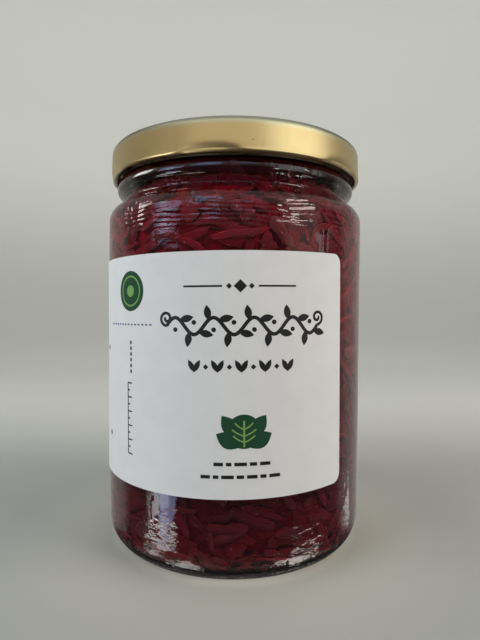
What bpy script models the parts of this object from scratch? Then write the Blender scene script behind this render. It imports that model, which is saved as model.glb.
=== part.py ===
# A shut glass jar of shredded red cabbage, with a gold twist lid and a wrap-round paper label.
# Metres, +Z up, the origin at the centre of the base, and the label's front towards -Y.

import math
import random

import bmesh
import bpy
from mathutils import Vector

MM = 0.001

# How finely round things are divided, and the angle above which an edge stays sharp
SIDES = 48
SIDE_ANGLE = 2 * math.pi / SIDES
SHARP_ANGLE = math.radians(35)

# The jar: a half-litre preserving jar with an 82 mm twist neck
BODY_RADIUS = 43.5 * MM
WALL = 2.6 * MM
FOOT_INNER_RADIUS = 34.2 * MM
FOOT_OUTER_RADIUS = 37.2 * MM
PUSH_UP = 3.0 * MM
DOME_RING_RADIUS = 20 * MM
HEEL_HEIGHT = 9.4 * MM
SHOULDER_START = 105.2 * MM
SHOULDER_WIDTH = 5.2 * MM
SHOULDER_HEIGHT = 5.8 * MM
SHOULDER_ARC = 78
NOTCH_RADIUS = 38.0 * MM
NOTCH_HEIGHT = 112.6 * MM
BEAD_RADIUS = 40.7 * MM
BEAD_HEIGHT = 116.3 * MM
BEAD_DEPTH = 2.1 * MM
BEAD_HALF_HEIGHT = 2.5 * MM
BEAD_ARC = 60
FINISH_RADIUS = 38.9 * MM
BORE_RADIUS = 35.4 * MM
RIM_HEIGHT = 127.6 * MM
RIM_OUTER_ROUND = 1.2 * MM
RIM_INNER_ROUND = 1.1 * MM
NECK_ROUND = 2.0 * MM
NECK_ROUND_HEIGHT = 111.6 * MM
INNER_SHOULDER_HEIGHT = 3.3 * MM
FLOOR_EDGE = 3.2 * MM
FLOOR_MIDDLE = 6.0 * MM
FLOOR_RADIUS = 35.3 * MM
FLOOR_RING_RADIUS = 18 * MM
INNER_HEEL_HEIGHT = 8.0 * MM
INNER_RADIUS = BODY_RADIUS - WALL

# The thread starts on the neck, and the lugs of the lid that catch under them
THREAD_STARTS = 6
THREAD_HEIGHT = 1.4 * MM
THREAD_MIDDLE = 123.0 * MM
THREAD_THICKNESS = 1.2 * MM
THREAD_FALL = 2.0 * MM
LUG_DEPTH = 1.2 * MM
LUG_ANGLE = math.radians(27)
FIRST_LUG = math.radians(-100)

# The lid: pressed sheet with a rolled edge and a stepped top
LID_RADIUS = 42.35 * MM
LID_FOOT_RADIUS = 42.55 * MM
LID_TOP = 129.6 * MM
LID_CORNER = 2.3 * MM
SHEET = 0.5 * MM
CURL_RADIUS = 0.75 * MM
CURL_HEIGHT = 120.1 * MM
CURL_OVERHANG = 0.1 * MM
SKIRT_FOOT = CURL_HEIGHT + 1.9 * MM
PANEL_DROP = 1.1 * MM
PANEL_RADIUS = 35.4 * MM
STEP_WIDTH = 1.1 * MM
STEP_SET_BACK = 0.3 * MM
BUTTON_RADIUS = 11.5 * MM
BUTTON_RISE = 0.5 * MM
BUTTON_SLOPE = 1.2 * MM

# The sealing ring inside the lid
SEAL_INNER_RADIUS = 36.6 * MM
SEAL_OUTER_RADIUS = 40.2 * MM
SEAL_THICKNESS = 0.9 * MM

# The label, a rectangle with round corners, stuck on a little askew
LABEL_LENGTH = 99.1 * MM
LABEL_HEIGHT = 67.7 * MM
LABEL_CORNER = 3.0 * MM
LABEL_THICKNESS = 0.2 * MM
LABEL_MIDDLE_HEIGHT = 58.7 * MM
LABEL_MIDDLE_ANGLE = math.radians(-19.3)
LABEL_TILT = math.radians(0.68)

# The packed core of the cabbage heap
CORE_SIDES = 24
CORE_DEPTH = 2.1 * MM
CORE_BUMP = 0.5 * MM
CORE_FOOT = 8.5 * MM
CORE_ROWS = 10
CORE_FIRST_ROW = 12 * MM
CORE_ROW_HEIGHT = 10.2 * MM
CORE_LAST_ROW = 107.5 * MM
CORE_NECK = 110.0 * MM
CORE_NECK_SLOPE = 0.6 * MM
CORE_FLOOR_MARGIN = 1.5 * MM
HEAP_TOP = 116.5 * MM
HEAP_TOP_EDGE = 1.5 * MM
HEAP_TOP_RINGS = ((24 * MM, -0.5 * MM), (12 * MM, 0.0), (0.0, -0.4 * MM))

# The shreds that press against the glass, each a bent strip with a random size within its range
SHRED_REACH = (0.4 * MM, 1.0 * MM)
SHRED_LENGTH = (14 * MM, 30 * MM)
SHRED_WIDTH = (2.4 * MM, 4.8 * MM)
SHRED_THICKNESS = 2.6 * MM
SHRED_TILT = 0.45
SHRED_BEND = 0.25
SHRED_STEP = 9 * MM
SHRED_END = 0.72
SHRED_MARGIN = 2.5 * MM
SHRED_SHAKE = 0.25
SHRED_ROWS = 12
SHREDS_A_ROW = 9
LOWEST_SHRED = 11.0 * MM
HIGHEST_SHRED = 104.5 * MM

# The shreds that lie on top of the heap
TOP_SHREDS = 7
TOP_LENGTH = (14 * MM, 22 * MM)
TOP_WIDTH = (2.5 * MM, 4.5 * MM)
TOP_THICKNESS = 2.2 * MM
TOP_AWAY = (8 * MM, 20 * MM)
TOP_MIDDLE_LIFT = 0.5 * MM
TOP_END_DROP = 0.3 * MM
TOP_SHAKE = 0.2
SEED = 11

# Clearance between neighbouring pieces
GAP = 0.3 * MM


def clear_scene():
    for thing in list(bpy.data.objects):
        bpy.data.objects.remove(thing, do_unlink=True)


def make_material(name, colour, roughness, metallic=0.0, transmission=0.0):
    material = bpy.data.materials.new(name)
    material.use_nodes = True
    shader = material.node_tree.nodes["Principled BSDF"]
    shader.inputs["Base Color"].default_value = (*colour, 1.0)
    shader.inputs["Roughness"].default_value = roughness
    shader.inputs["Metallic"].default_value = metallic
    shader.inputs["Transmission Weight"].default_value = transmission
    return material


def arc(centre_radius, centre_height, width, height, start, end, steps):
    """Points of an elliptic arc in the turning plane, its angles in degrees from outwards."""
    points = []
    for step in range(steps + 1):
        angle = math.radians(start + (end - start) * step / steps)
        points.append((centre_radius + width * math.cos(angle),
                       centre_height + height * math.sin(angle)))
    return points


def add_object(name, bm, material):
    bmesh.ops.recalc_face_normals(bm, faces=bm.faces)
    mesh = bpy.data.meshes.new(name)
    bm.to_mesh(mesh)
    bm.free()
    mesh.materials.append(material)
    mesh.shade_smooth()
    mesh.set_sharp_from_angle(angle=SHARP_ANGLE)
    thing = bpy.data.objects.new(name, mesh)
    bpy.context.collection.objects.link(thing)
    return thing


def turned(outline, closed, sides=SIDES):
    """Spin an outline of (radius, height) points round the jar's axis into a closed body."""
    bm = bmesh.new()
    verts = [bm.verts.new((radius, 0.0, height)) for radius, height in outline]
    edges = [bm.edges.new(pair) for pair in zip(verts, verts[1:])]
    if closed:
        edges.append(bm.edges.new((verts[-1], verts[0])))
    bmesh.ops.spin(bm, geom=verts + edges, cent=(0, 0, 0), axis=(0, 0, 1),
                   angle=2 * math.pi, steps=sides, use_merge=True, use_duplicate=False)
    bmesh.ops.remove_doubles(bm, verts=bm.verts, dist=0.001 * MM)
    return bm


def bump_over(angle, middle, width):
    """One in the middle of a stretch of the circle, easing to nought at its ends."""
    away = abs((angle - middle + math.pi) % (2 * math.pi) - math.pi)
    share = min(1.0, away / (width / 2))
    return 0.5 + 0.5 * math.cos(math.pi * share ** 3)


# Glass

def outer_glass_outline():
    base = [(radius, PUSH_UP * (1 - (radius / FOOT_INNER_RADIUS) ** 2))
            for radius in (0.0, DOME_RING_RADIUS)]
    foot = [(FOOT_INNER_RADIUS, 0.0)]
    heel = arc(FOOT_OUTER_RADIUS, HEEL_HEIGHT, BODY_RADIUS - FOOT_OUTER_RADIUS, HEEL_HEIGHT, -90, 0, 4)
    shoulder = arc(BODY_RADIUS - SHOULDER_WIDTH, SHOULDER_START, SHOULDER_WIDTH, SHOULDER_HEIGHT,
                   0, SHOULDER_ARC, 3)
    notch = [(NOTCH_RADIUS, NOTCH_HEIGHT)]
    bead = arc(BEAD_RADIUS - BEAD_DEPTH, BEAD_HEIGHT, BEAD_DEPTH, BEAD_HALF_HEIGHT, -BEAD_ARC, BEAD_ARC, 3)
    thread_low = THREAD_MIDDLE - THREAD_THICKNESS
    thread_high = THREAD_MIDDLE + THREAD_THICKNESS
    crest = FINISH_RADIUS + THREAD_HEIGHT
    thread = [(FINISH_RADIUS, thread_low), (crest, THREAD_MIDDLE - THREAD_THICKNESS / 3),
              (crest, THREAD_MIDDLE + THREAD_THICKNESS / 3), (FINISH_RADIUS, thread_high)]
    rim = arc(FINISH_RADIUS - RIM_OUTER_ROUND, RIM_HEIGHT - RIM_OUTER_ROUND,
              RIM_OUTER_ROUND, RIM_OUTER_ROUND, 0, 90, 1)
    return base + foot + heel + shoulder + notch + bead + thread + rim


def floor_height_at(radius):
    return FLOOR_EDGE + (FLOOR_MIDDLE - FLOOR_EDGE) * (1 - (radius / FLOOR_RADIUS) ** 2)


def inner_glass_outline():
    """From the rim down the bore and the wall to the middle of the floor."""
    rim = arc(BORE_RADIUS + RIM_INNER_ROUND, RIM_HEIGHT - RIM_INNER_ROUND,
              RIM_INNER_ROUND, RIM_INNER_ROUND, 90, 180, 1)
    neck = arc(BORE_RADIUS + NECK_ROUND, NECK_ROUND_HEIGHT, NECK_ROUND, NECK_ROUND, 180, 250, 1)
    shoulder = arc(BODY_RADIUS - SHOULDER_WIDTH, SHOULDER_START,
                   INNER_RADIUS - BODY_RADIUS + SHOULDER_WIDTH, INNER_SHOULDER_HEIGHT, SHOULDER_ARC, 0, 2)
    heel = arc(FLOOR_RADIUS, FLOOR_EDGE + INNER_HEEL_HEIGHT,
               INNER_RADIUS - FLOOR_RADIUS, INNER_HEEL_HEIGHT, 0, -90, 3)
    floor = [(radius, floor_height_at(radius)) for radius in (FLOOR_RING_RADIUS, 0.0)]
    return rim + neck + shoulder + heel + floor


def thread_start_shape(point):
    """Let each thread start slope down round the neck and fade out at both ends."""
    radius = math.hypot(point.x, point.y)
    reach = THREAD_THICKNESS * 1.01
    if abs(point.z - THREAD_MIDDLE) > reach or radius < FINISH_RADIUS - 0.1 * MM:
        return point
    angle = math.atan2(point.y, point.x)
    turn = (angle - FIRST_LUG) * THREAD_STARTS / (2 * math.pi)
    share = turn - math.floor(turn + 1e-6)
    height = (radius - FINISH_RADIUS) * min(1.0, 4 * share, 4 * (1 - share))
    new_radius = FINISH_RADIUS + max(0.0, height)
    fall = THREAD_FALL * (0.5 - share)
    return Vector((new_radius * math.cos(angle), new_radius * math.sin(angle), point.z + fall))


def make_glass():
    bm = turned(outer_glass_outline() + inner_glass_outline(), closed=False)
    for vert in bm.verts:
        vert.co = thread_start_shape(vert.co)
    glass = make_material("clear_glass", (0.92, 0.95, 0.94), 0.03, transmission=1.0)
    return add_object("jar_glass", bm, glass)


# Lid

def lid_outline():
    ring_top = LID_TOP
    panel_top = LID_TOP - PANEL_DROP
    button = [(0.0, panel_top + BUTTON_RISE), (BUTTON_RADIUS, panel_top + BUTTON_RISE),
              (BUTTON_RADIUS + BUTTON_SLOPE, panel_top)]
    step = [(PANEL_RADIUS, panel_top), (PANEL_RADIUS + STEP_WIDTH, ring_top)]
    corner = arc(LID_RADIUS - LID_CORNER, LID_TOP - LID_CORNER, LID_CORNER, LID_CORNER, 90, 0, 3)
    skirt = [(LID_FOOT_RADIUS, SKIRT_FOOT)]
    curl = arc(LID_FOOT_RADIUS + CURL_OVERHANG - CURL_RADIUS, CURL_HEIGHT,
               CURL_RADIUS, CURL_RADIUS, 20, -200, 4)
    inside = [(LID_FOOT_RADIUS - SHEET, SKIRT_FOOT)]
    inner_corner = arc(LID_RADIUS - LID_CORNER, LID_TOP - LID_CORNER,
                       LID_CORNER - SHEET, LID_CORNER - SHEET, 0, 90, 2)
    inner_step = [(PANEL_RADIUS + STEP_WIDTH + STEP_SET_BACK, ring_top - SHEET),
                  (PANEL_RADIUS + STEP_SET_BACK, panel_top - SHEET)]
    inner_button = [(BUTTON_RADIUS + BUTTON_SLOPE, panel_top - SHEET),
                    (BUTTON_RADIUS, panel_top + BUTTON_RISE - SHEET),
                    (0.0, panel_top + BUTTON_RISE - SHEET)]
    return button + step + corner + skirt + curl + inside + inner_corner + inner_step + inner_button


def lug_shape(point):
    """Press the rolled edge inwards at each lug."""
    if point.z > CURL_HEIGHT + CURL_RADIUS:
        return point
    angle = math.atan2(point.y, point.x)
    pressed = max(bump_over(angle, FIRST_LUG + 2 * math.pi * lug / THREAD_STARTS, LUG_ANGLE)
                  for lug in range(THREAD_STARTS))
    radius = math.hypot(point.x, point.y) - LUG_DEPTH * pressed
    return Vector((radius * math.cos(angle), radius * math.sin(angle), point.z))


def make_lid():
    bm = turned(lid_outline(), closed=False)
    for vert in bm.verts:
        vert.co = lug_shape(vert.co)
    gold = make_material("gold_lacquer", (0.62, 0.44, 0.18), 0.3, metallic=0.9)
    return add_object("lid", bm, gold)


def make_seal():
    top = LID_TOP - SHEET - GAP
    bottom = top - SEAL_THICKNESS
    bm = turned([(SEAL_OUTER_RADIUS, top), (SEAL_OUTER_RADIUS, bottom),
                 (SEAL_INNER_RADIUS, bottom), (SEAL_INNER_RADIUS, top)], closed=True)
    rubber = make_material("seal_cream", (0.8, 0.78, 0.7), 0.5)
    return add_object("lid_seal", bm, rubber)


# Label

def make_label():
    """Cut a flat sheet with round corners, crease it where the glass has its sides, and wrap it."""
    half_length = LABEL_LENGTH / 2 - LABEL_CORNER
    half_height = LABEL_HEIGHT / 2 - LABEL_CORNER
    outline = []
    for right, up, start in ((1, 1, 0), (-1, 1, 90), (-1, -1, 180), (1, -1, 270)):
        outline += arc(right * half_length, up * half_height, LABEL_CORNER, LABEL_CORNER,
                       start, start + 90, 4)
    bm = bmesh.new()
    turn = (math.cos(LABEL_TILT), math.sin(LABEL_TILT))
    corners = [bm.verts.new((x * turn[0] - y * turn[1], x * turn[1] + y * turn[0], 0.0))
               for x, y in outline]
    bm.faces.new(corners)
    inner = BODY_RADIUS + GAP
    side = int(math.floor((LABEL_MIDDLE_ANGLE - math.pi) / SIDE_ANGLE))
    while side * SIDE_ANGLE < LABEL_MIDDLE_ANGLE + math.pi:
        along = (side * SIDE_ANGLE - LABEL_MIDDLE_ANGLE) * BODY_RADIUS
        bmesh.ops.bisect_plane(bm, geom=bm.verts[:] + bm.edges[:] + bm.faces[:], dist=0.0001 * MM,
                               plane_co=(along, 0, 0), plane_no=(1, 0, 0))
        side += 1
    thick = bmesh.ops.extrude_face_region(bm, geom=bm.faces[:])
    for vert in thick["geom"]:
        if isinstance(vert, bmesh.types.BMVert):
            vert.co.z += LABEL_THICKNESS
    for vert in bm.verts:
        angle = LABEL_MIDDLE_ANGLE + vert.co.x / BODY_RADIUS
        radius = inner + vert.co.z
        vert.co = (radius * math.sin(angle), -radius * math.cos(angle), LABEL_MIDDLE_HEIGHT + vert.co.y)
    paper = make_material("white_paper", (0.86, 0.86, 0.84), 0.6)
    return add_object("label", bm, paper)


# Cabbage

def inner_radius_at(height):
    """The radius of the jar's inside at a height, from its own outline."""
    outline = inner_glass_outline()
    for (radius_a, height_a), (radius_b, height_b) in zip(outline, outline[1:]):
        if height_b <= height <= height_a and height_a > height_b:
            share = (height - height_b) / (height_a - height_b)
            return radius_b + (radius_a - radius_b) * share
    return FLOOR_RADIUS


def core_outline():
    floor = [(radius, floor_height_at(radius) + 2 * GAP)
             for radius in (0.0, FLOOR_RING_RADIUS, FLOOR_RADIUS - CORE_FLOOR_MARGIN)]
    rows = [CORE_FIRST_ROW + CORE_ROW_HEIGHT * row for row in range(CORE_ROWS)]
    wall = [(inner_radius_at(height) - CORE_DEPTH, height) for height in [CORE_FOOT] + rows + [CORE_LAST_ROW]]
    neck = [(BORE_RADIUS - CORE_DEPTH + CORE_NECK_SLOPE, CORE_NECK),
            (BORE_RADIUS - CORE_DEPTH, HEAP_TOP - HEAP_TOP_EDGE)]
    top = [(radius, HEAP_TOP + rise) for radius, rise in HEAP_TOP_RINGS]
    return floor + wall + neck + top


def make_core(rng):
    bm = turned(core_outline(), closed=False, sides=CORE_SIDES)
    for vert in bm.verts:
        radius = math.hypot(vert.co.x, vert.co.y)
        if radius < 1 * MM:
            continue
        bump = rng.uniform(-CORE_BUMP, CORE_BUMP)
        if vert.co.z > HEAP_TOP - 2 * MM:
            vert.co.z += 2 * bump
        elif vert.co.z > FLOOR_EDGE + 2 * MM:
            vert.co.x *= 1 + bump / radius
            vert.co.y *= 1 + bump / radius
    return bm


def box_strip(sections):
    """Join four-cornered cross sections, in order, into one closed strip."""
    bm = bmesh.new()
    rings = [[bm.verts.new(corner) for corner in section] for section in sections]
    for ring, following in zip(rings, rings[1:]):
        for corner in range(4):
            after = (corner + 1) % 4
            bm.faces.new((ring[corner], ring[after], following[after], following[corner]))
    bm.faces.new(reversed(rings[0]))
    bm.faces.new(rings[-1])
    bmesh.ops.recalc_face_normals(bm, faces=bm.faces)
    return bm


def wall_shred(rng, angle, height):
    """A bent strip that follows the inside of the glass."""
    length = rng.uniform(*SHRED_LENGTH)
    width = rng.uniform(*SHRED_WIDTH)
    tilt = rng.gauss(0, SHRED_TILT)
    bend = rng.uniform(-SHRED_BEND, SHRED_BEND)
    reach = rng.uniform(*SHRED_REACH)
    steps = max(2, round(length / SHRED_STEP))
    sections = []
    for step in range(steps + 1):
        along = length * (step / steps - 0.5)
        heading = tilt + bend * along / length
        centre_u = along * math.cos(tilt) - 0.5 * bend * along * math.sin(tilt)
        centre_v = along * math.sin(tilt) + 0.5 * bend * abs(along) * math.cos(tilt)
        half = width / 2 * (SHRED_END if step in (0, steps) else 1.0)
        across = (-math.sin(heading) * half, math.cos(heading) * half)
        section = []
        behind = reach + SHRED_THICKNESS
        for side, depth in ((-1, reach), (1, reach), (1, behind), (-1, behind)):
            z = height + centre_v + side * across[1]
            z = min(HIGHEST_SHRED + SHRED_MARGIN, max(LOWEST_SHRED - SHRED_MARGIN, z))
            radius = inner_radius_at(z) - depth
            theta = angle + (centre_u + side * across[0]) / INNER_RADIUS
            section.append((radius * math.cos(theta), radius * math.sin(theta), z))
        sections.append(section)
    return box_strip(sections)


def top_shred(rng, angle):
    """A strip lying on top of the heap, below the mouth."""
    length = rng.uniform(*TOP_LENGTH)
    width = rng.uniform(*TOP_WIDTH)
    away = rng.uniform(*TOP_AWAY)
    heading = rng.uniform(0, math.pi)
    sections = []
    for step in range(3):
        along = length * (step / 2 - 0.5)
        lift = HEAP_TOP + (TOP_MIDDLE_LIFT if step == 1 else -TOP_END_DROP)
        centre = Vector((away * math.cos(angle) + along * math.cos(heading),
                         away * math.sin(angle) + along * math.sin(heading), lift))
        across = Vector((-math.sin(heading), math.cos(heading), 0.0)) * width / 2
        down = Vector((0, 0, TOP_THICKNESS))
        sections.append([centre - across, centre + across, centre + across - down, centre - across - down])
    return box_strip(sections)


def outer_shell_only(bm):
    """Keep the one body that faces outwards: fills sealed hollows and drops loose scraps."""
    unseen = set(bm.verts)
    islands = []
    while unseen:
        stack = [unseen.pop()]
        island = set(stack)
        while stack:
            for edge in stack.pop().link_edges:
                for vert in edge.verts:
                    if vert in unseen:
                        unseen.discard(vert)
                        island.add(vert)
                        stack.append(vert)
        islands.append(island)
    largest = max(islands, key=len)
    loose = [vert for vert in bm.verts if vert not in largest]
    bmesh.ops.delete(bm, geom=loose, context="VERTS")


def make_cabbage():
    rng = random.Random(SEED)
    crimson = make_material("red_cabbage", (0.22, 0.02, 0.05), 0.25)
    core = add_object("cabbage", make_core(rng), crimson)
    pieces = []
    row_height = (HIGHEST_SHRED - LOWEST_SHRED) / (SHRED_ROWS - 1)
    for row in range(SHRED_ROWS):
        for place in range(SHREDS_A_ROW):
            shift = 0.5 * (row % 2) + rng.uniform(-SHRED_SHAKE, SHRED_SHAKE)
            angle = 2 * math.pi * (place + shift) / SHREDS_A_ROW
            height = LOWEST_SHRED + row_height * (row + rng.uniform(-SHRED_SHAKE, SHRED_SHAKE))
            pieces.append(wall_shred(rng, angle, min(HIGHEST_SHRED, max(LOWEST_SHRED, height))))
    for place in range(TOP_SHREDS):
        angle = 2 * math.pi * (place + rng.uniform(-TOP_SHAKE, TOP_SHAKE)) / TOP_SHREDS
        pieces.append(top_shred(rng, angle))
    shreds = bpy.data.collections.new("shreds")
    bpy.context.scene.collection.children.link(shreds)
    for number, bm in enumerate(pieces):
        mesh = bpy.data.meshes.new(f"shred_{number}")
        bm.to_mesh(mesh)
        bm.free()
        shreds.objects.link(bpy.data.objects.new(f"shred_{number}", mesh))
    union = core.modifiers.new("shreds", "BOOLEAN")
    union.operation = "UNION"
    union.operand_type = "COLLECTION"
    union.collection = shreds
    union.solver = "EXACT"
    depsgraph = bpy.context.evaluated_depsgraph_get()
    joined = bpy.data.meshes.new_from_object(core.evaluated_get(depsgraph))
    core.modifiers.remove(union)
    for piece in list(shreds.objects):
        bpy.data.objects.remove(piece, do_unlink=True)
    bpy.data.collections.remove(shreds)
    bm = bmesh.new()
    bm.from_mesh(joined)
    outer_shell_only(bm)
    bmesh.ops.dissolve_limit(bm, angle_limit=math.radians(0.5), verts=bm.verts, edges=bm.edges)
    bmesh.ops.triangulate(bm, faces=bm.faces)
    core_mesh = core.data
    bm.to_mesh(core_mesh)
    bm.free()
    core_mesh.shade_smooth()
    core_mesh.set_sharp_from_angle(angle=SHARP_ANGLE)
    return core


def main():
    clear_scene()
    make_glass()
    make_lid()
    make_seal()
    make_label()
    make_cabbage()


main()
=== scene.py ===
import math

import bpy
import numpy as np
from mathutils import Matrix, Vector


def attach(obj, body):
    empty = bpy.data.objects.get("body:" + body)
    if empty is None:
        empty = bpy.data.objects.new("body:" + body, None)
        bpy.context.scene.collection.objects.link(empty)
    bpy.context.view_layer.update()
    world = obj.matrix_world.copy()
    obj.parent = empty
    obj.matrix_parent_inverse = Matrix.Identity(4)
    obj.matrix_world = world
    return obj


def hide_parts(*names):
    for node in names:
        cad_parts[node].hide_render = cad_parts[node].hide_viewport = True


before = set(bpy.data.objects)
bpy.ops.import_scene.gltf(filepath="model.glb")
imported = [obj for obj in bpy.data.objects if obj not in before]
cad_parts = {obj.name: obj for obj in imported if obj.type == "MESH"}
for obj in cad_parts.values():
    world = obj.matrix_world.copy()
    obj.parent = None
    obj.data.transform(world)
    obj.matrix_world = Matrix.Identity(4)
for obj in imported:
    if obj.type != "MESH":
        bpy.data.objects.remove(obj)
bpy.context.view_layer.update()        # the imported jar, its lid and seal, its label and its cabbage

mm = 0.001               # shapes are worked out in millimetres and put into meshes in metres
print("frame loaded:", sorted(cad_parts))


# Points in millimetres become a mesh object in metres, at the origin, with its place in its mesh
def addMesh(name, points, quads, triangles=(), sharpAngle=None):
    points = np.asarray(points, float).reshape(-1, 3) * mm
    quads = np.asarray(quads, np.int32).reshape(-1, 4)
    triangles = np.asarray(triangles, np.int32).reshape(-1, 3)
    corners = np.concatenate([quads.ravel(), triangles.ravel()])
    starts = np.concatenate([4 * np.arange(len(quads)), 4 * len(quads) + 3 * np.arange(len(triangles))])
    mesh = bpy.data.meshes.new(name)
    mesh.vertices.add(len(points))
    mesh.vertices.foreach_set("co", points.ravel())
    mesh.loops.add(len(corners))
    mesh.loops.foreach_set("vertex_index", corners.astype(np.int32))
    mesh.polygons.add(len(starts))
    mesh.polygons.foreach_set("loop_start", starts.astype(np.int32))
    mesh.update(calc_edges=True)
    mesh.shade_smooth()
    if sharpAngle:
        mesh.set_sharp_from_angle(angle=math.radians(sharpAngle))
    piece = bpy.data.objects.new(name, mesh)
    bpy.context.scene.collection.objects.link(piece)
    return piece


# Six times the volume inside quads: the sum of each half's corners' triple product
def signedVolume(points, quads):
    a, b, c, d = (points[quads[:, k]] for k in range(4))
    return float((np.cross(a, b) * c).sum() + (np.cross(a, c) * d).sum())


def facingOut(points, quads):
    return quads if signedVolume(points, quads) > 0 else quads[:, ::-1]


# Points of an elliptic arc as (radius, height), its angles in degrees from straight outwards
def arc(centreRadius, centreHeight, width, height, start, end, steps=16):
    turn = np.radians(np.linspace(start, end, steps + 1))
    return np.stack([centreRadius + width * np.cos(turn), centreHeight + height * np.sin(turn)], 1)


# The outline walked at even steps, each point then averaged with its neighbours by a bell curve
def softened(outline, blur, spacing=0.1):
    outline = np.asarray(outline, float)
    walked = np.concatenate([[0], np.cumsum(np.hypot(*np.diff(outline, axis=0).T))])
    even = np.linspace(0, walked[-1], int(walked[-1] / spacing) + 1)
    line = np.stack([np.interp(even, walked, outline[:, k]) for k in range(2)], 1)
    reach = int(3 * blur / spacing)
    bell = np.exp(-0.5 * (np.arange(-reach, reach + 1) * spacing / blur) ** 2)
    before = 2 * line[0] - line[reach:0:-1]
    after = 2 * line[-1] - line[-2:-reach - 2:-1]
    long = np.concatenate([before, line, after])
    return np.stack([np.convolve(long[:, k], bell / bell.sum(), "valid") for k in range(2)], 1)


# Fewer points on an outline: one for each few degrees of turning or few millimetres of length
def thinned(outline, turn=7.0, reach=3.0):
    step = np.diff(outline, axis=0)
    heading = np.unwrap(np.arctan2(step[:, 1], step[:, 0]))
    bent = np.abs(np.diff(heading, prepend=heading[0])) / math.radians(turn)
    effort = np.concatenate([[0], np.cumsum(np.hypot(*step.T) / reach + bent)])
    wanted = np.linspace(0, effort[-1], int(math.ceil(effort[-1])) + 1)
    return np.stack([np.interp(wanted, effort, outline[:, k]) for k in range(2)], 1)


# The faces between rings of points, one ring after another
def ringWalls(rows, sides):
    column = np.arange(sides)
    after = (column + 1) % sides
    base = sides * np.arange(rows - 1)[:, None]
    return np.stack([base + column, base + after, base + sides + after, base + sides + column], -1)


# An outline from the axis and back to it, carried round the axis; relief(angle, radius, height) moves points
def turnedPiece(name, outline, sides, relief=None, sharpAngle=None):
    r, z = np.asarray(outline, float).T
    if np.sum(r * np.roll(z, -1) - np.roll(r, -1) * z) < 0:
        r, z = r[::-1], z[::-1]
    angle = np.linspace(0, 2 * math.pi, sides, endpoint=False)[None, :]
    radius, height = r[:, None] + 0 * angle, z[:, None] + 0 * angle
    if relief:
        radius, height = relief(angle, radius, height)
    rings = np.stack([radius * np.cos(angle), radius * np.sin(angle), height], -1)[1:-1]
    rows = len(rings)
    points = np.concatenate([[[0, 0, z[0]]], rings.reshape(-1, 3), [[0, 0, z[-1]]]])
    column = np.arange(sides)
    after = (column + 1) % sides
    last = 1 + sides * (rows - 1)
    foot = np.stack([0 * column, 1 + after, 1 + column], 1)
    head = np.stack([last + column, last + after, 0 * column + len(points) - 1], 1)
    return addMesh(name, points, 1 + ringWalls(rows, sides), np.concatenate([foot, head]), sharpAngle)


# Smooth unevenness: a sum of cosines with whole numbers of waves round the jar, each with its own phase
def unevenness(angle, height, seed, waves=14, around=12, upwards=22.0):
    rng = np.random.default_rng(seed)
    total = 0
    for _ in range(waves):
        rise = rng.uniform(-1, 1) * 2 * math.pi / upwards
        turns = rng.integers(1, around + 1)
        total = total + np.cos(turns * angle + rise * height + rng.uniform(0, 2 * math.pi))
    return total / math.sqrt(waves)


def smoothStep(low, high, value):
    share = np.clip((value - low) / (high - low), 0, 1)
    return share * share * (3 - 2 * share)


# Shader building: a material's or a group's nodes, each with its inputs given by name
class Finish:
    def __init__(self, name):
        self.material = bpy.data.materials.new(name)
        self.material.use_nodes = True
        self.tree = self.material.node_tree
        self.shader = self.tree.nodes["Principled BSDF"]
        self.output = self.tree.nodes["Material Output"]

    def add(self, kind, inputs=None, **settings):
        node = self.tree.nodes.new("ShaderNode" + kind)
        for key, value in settings.items():
            setattr(node, key, value)
        self.feed(node, inputs or {})
        return node

    def feed(self, node, inputs):
        for key, value in inputs.items():
            if isinstance(value, bpy.types.NodeSocket):
                self.tree.links.new(value, node.inputs[key])
            else:
                node.inputs[key].default_value = value

    def math(self, operation, first, second=0.0):
        return self.add("Math", {0: first, 1: second}, operation=operation).outputs[0]

    def plus(self, first, *others):
        for other in others:
            first = self.math("ADD", first, other)
        return first

    def times(self, first, *others):
        for other in others:
            first = self.math("MULTIPLY", first, other)
        return first

    def mix(self, share, first, second):
        first, second = ((*tint, 1) if isinstance(tint, tuple) else tint for tint in (first, second))
        return self.add("Mix", {0: share, 6: first, 7: second}, data_type="RGBA").outputs[2]

    # From start at the low value to end at the high value, eased at both
    def between(self, value, low, high, start=0.0, end=1.0):
        inputs = {"Value": value, "From Min": low, "From Max": high, "To Min": start, "To Max": end}
        return self.add("MapRange", inputs, interpolation_type="SMOOTHSTEP").outputs[0]

    # A mask that rises between the first two limits and falls between the last two
    def band(self, value, rising, risen, falling, fallen):
        return self.times(self.between(value, rising, risen), self.between(value, fallen, falling))

    def noise(self, vector, scale, detail=2.0, roughness=0.5):
        inputs = {"Vector": vector, "Scale": scale, "Detail": detail, "Roughness": roughness}
        return self.add("TexNoise", inputs).outputs["Fac"]

    # Noise with its own scale along each axis, in spots to the metre
    def spots(self, vector, scales, detail=2.0, roughness=0.5):
        return self.noise(self.stretched(vector, scales), 1.0, detail, roughness)

    def stretched(self, vector, scales):
        return self.add("Mapping", {"Vector": vector, "Scale": scales}).outputs[0]

    def place(self):
        return self.add("TexCoord").outputs["Object"]

    def axis(self, vector, name):
        return self.add("SeparateXYZ", {0: vector}).outputs[name]

    def length(self, vector):
        return self.add("VectorMath", {0: vector}, operation="LENGTH").outputs["Value"]

    def scaled(self, colour, share):
        return self.add("VectorMath", {0: colour, "Scale": share}, operation="SCALE").outputs[0]

    def grained(self, place, scale, coarse):
        inputs = {"Vector": place, "Scale": scale, "Coarse": coarse}
        return self.add("Group", inputs, node_tree=grain).outputs["Height"]

    def marked(self, place, scale):
        return self.add("Group", {"Vector": place, "Scale": scale}, node_tree=handling).outputs["Mask"]

    def bumped(self, height, strength, distance):
        inputs = {"Height": height, "Strength": strength, "Distance": distance}
        return self.add("Bump", inputs).outputs[0]


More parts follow.
